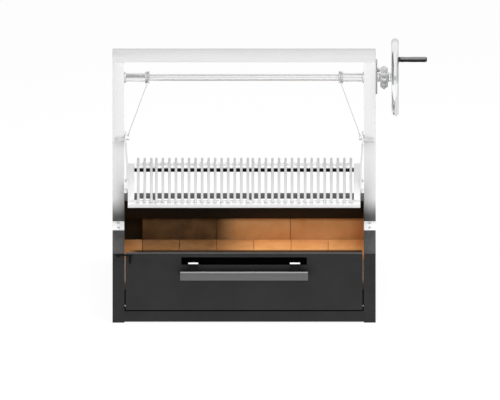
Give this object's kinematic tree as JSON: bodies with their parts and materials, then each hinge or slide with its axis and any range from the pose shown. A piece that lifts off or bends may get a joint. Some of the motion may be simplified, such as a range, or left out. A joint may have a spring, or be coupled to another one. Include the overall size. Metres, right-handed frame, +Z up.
{
  "type": "built-in charcoal grill",
  "caption": "Black steel firebox lined with fire bricks, with a drop door, under a stainless arch whose hand wheel raises a sloping rod grate on cables.",
  "frame": {"origin": "centre of the underside of the firebox's bottom pan, on the surface that it stands on", "axes": "+X towards the hand wheel, -Y towards the cook and the drop door, +Z up"},
  "size_m": [0.975, 0.678, 0.8112],
  "materials": {
    "black_paint": "satin black heat-proof paint",
    "inner_steel": "dull black paint, sooted",
    "firebrick": "unglazed fired clay",
    "stainless": "fine brushed",
    "grate_rod": "drawn round bar, smooth",
    "chrome": "polished",
    "handle_steel": "satin grey metallic paint",
    "zinc_steel": "zinc plated",
    "grip_plastic": "smooth black plastic"
  },
  "bodies": {
    "firebox": {"back_panel": "black_paint", "bottom_pan": "black_paint", "floor_bricks": "firebrick", "floor_plate": "inner_steel", "front_rail": "black_paint", "left_bearing": "zinc_steel", "left_bricks": "firebrick", "left_foot_plate": "stainless", "left_front_post": "black_paint", "left_hinge_pin": "zinc_steel", "left_side_panel": "black_paint", "left_upright": "stainless", "pawl_pin": "zinc_steel", "ratchet_plate": "stainless", "rear_bricks": "firebrick", "rear_flange": "black_paint", "rear_liner": "inner_steel", "right_bearing": "zinc_steel", "right_bricks": "firebrick", "right_foot_plate": "stainless", "right_front_post": "black_paint", "right_hinge_pin": "zinc_steel", "right_side_panel": "black_paint", "right_upright": "stainless", "top_crossbar": "stainless"},
    "crank": {"lift_shaft": "stainless", "left_drum": "stainless", "right_drum": "stainless", "left_winding": "zinc_steel", "right_winding": "zinc_steel", "ratchet_wheel": "zinc_steel", "wheel_hub": "chrome", "hand_wheel": "chrome", "hub_nut": "chrome", "grip_spindle": "chrome"},
    "grip": {"grip": "grip_plastic"},
    "pawl": {"pawl": "zinc_steel"},
    "carriage": {"left_carriage_plate": "stainless", "right_carriage_plate": "stainless", "left_cable": "zinc_steel", "right_cable": "zinc_steel", "left_frame_member": "stainless", "right_frame_member": "stainless", "rear_frame_member": "stainless", "front_frame_member": "stainless", "grate_panel_left": "grate_rod", "grate_panel_middle": "grate_rod", "grate_panel_right": "grate_rod"},
    "left_front_roller": {"left_front_roller": "stainless"},
    "left_rear_roller": {"left_rear_roller": "stainless"},
    "right_front_roller": {"right_front_roller": "stainless"},
    "right_rear_roller": {"right_rear_roller": "stainless"},
    "grease_tray": {"grease_tray": "stainless"},
    "door": {"door_panel": "black_paint", "vent_baffle": "inner_steel", "handle_bar": "handle_steel", "left_handle_bracket": "handle_steel", "right_handle_bracket": "handle_steel", "latch_pivot": "zinc_steel"},
    "latch_lever": {"latch_lever": "black_paint"}
  },
  "joints": [
    {"name": "grate_lift", "type": "slide", "parent": "firebox", "child": "carriage", "axis": [0, 0, 1], "range_m": [-0.1073, 0.1395], "deforming": ["left_cable", "right_cable"]},
    {"name": "crank_turn", "type": "hinge", "parent": "firebox", "child": "crank", "pos_m": [0, 0.0225, 0.69], "axis": [1, 0, 0], "range_deg": [-390, 300]},
    {"name": "grip_spin", "type": "hinge", "parent": "crank", "child": "grip", "pos_m": [0.5239, -0.05144, 0.77069], "axis": [1, 0, 0], "continuous": true},
    {"name": "pawl_swing", "type": "hinge", "parent": "firebox", "child": "pawl", "pos_m": [0.434, 0.0804, 0.6965], "axis": [1, 0, 0], "range_deg": [-60, 60]},
    {"name": "left_front_roller_turn", "type": "hinge", "parent": "carriage", "child": "left_front_roller", "pos_m": [-0.3845, 0.0002, 0.493], "axis": [1, 0, 0], "range_deg": [-1335, 1030]},
    {"name": "left_rear_roller_turn", "type": "hinge", "parent": "carriage", "child": "left_rear_roller", "pos_m": [-0.3845, 0.0448, 0.493], "axis": [1, 0, 0], "range_deg": [-1030, 1335]},
    {"name": "right_front_roller_turn", "type": "hinge", "parent": "carriage", "child": "right_front_roller", "pos_m": [0.3845, 0.0002, 0.493], "axis": [1, 0, 0], "range_deg": [-1335, 1030]},
    {"name": "right_rear_roller_turn", "type": "hinge", "parent": "carriage", "child": "right_rear_roller", "pos_m": [0.3845, 0.0448, 0.493], "axis": [1, 0, 0], "range_deg": [-1030, 1335]},
    {"name": "tray_slide", "type": "slide", "parent": "carriage", "child": "grease_tray", "axis": [0, -1, 0], "range_m": [0, 0.055]},
    {"name": "door_drop", "type": "hinge", "parent": "firebox", "child": "door", "pos_m": [0, -0.313, 0.053], "axis": [1, 0, 0], "range_deg": [0, 90]},
    {"name": "latch_swing", "type": "hinge", "parent": "door", "child": "latch_lever", "pos_m": [-0.3533, -0.3245, 0.212], "axis": [0, 1, 0], "range_deg": [0, 90]}
  ],
  "couplings": [
    {"joint": "crank_turn", "follows": "grate_lift", "rad_per_m": -48.781},
    {"joint": "left_front_roller_turn", "follows": "grate_lift", "rad_per_m": -166.67},
    {"joint": "left_rear_roller_turn", "follows": "grate_lift", "rad_per_m": 166.67},
    {"joint": "right_front_roller_turn", "follows": "grate_lift", "rad_per_m": -166.67},
    {"joint": "right_rear_roller_turn", "follows": "grate_lift", "rad_per_m": 166.67}
  ]
}
